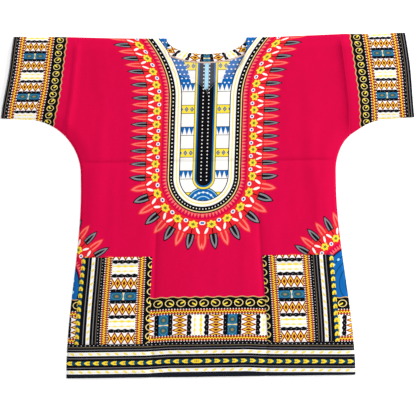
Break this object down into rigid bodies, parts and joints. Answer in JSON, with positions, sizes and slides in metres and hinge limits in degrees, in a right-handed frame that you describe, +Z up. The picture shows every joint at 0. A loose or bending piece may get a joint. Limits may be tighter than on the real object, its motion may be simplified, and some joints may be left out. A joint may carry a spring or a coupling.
{
  "type": "dashiki shirt",
  "caption": "Loose printed cotton shirt lying flat on its back, with short wide sleeves, a scooped neck with a small notch, and patch pockets.",
  "frame": {"origin": "on the floor, under the middle of the shirt's outline", "axes": "+X towards the wearer's left sleeve, +Y towards the neck, +Z up, out of the shirt's front"},
  "size_m": [0.911, 0.7544, 0.0087],
  "materials": {
    "panel_print": "plain woven cotton with a wax print, matte",
    "sleeve_print": "plain woven cotton with a wax print, matte",
    "pocket_print": "plain woven cotton with a wax print, matte",
    "facing_print": "plain woven cotton with a wax print, matte"
  },
  "bodies": {
    "root": {"back_panel": "panel_print", "front_panel": "panel_print", "sleeve_right": "sleeve_print", "sleeve_left": "sleeve_print", "pocket_right": "pocket_print", "pocket_left": "pocket_print", "neck_facing": "facing_print"}
  },
  "joints": []
}
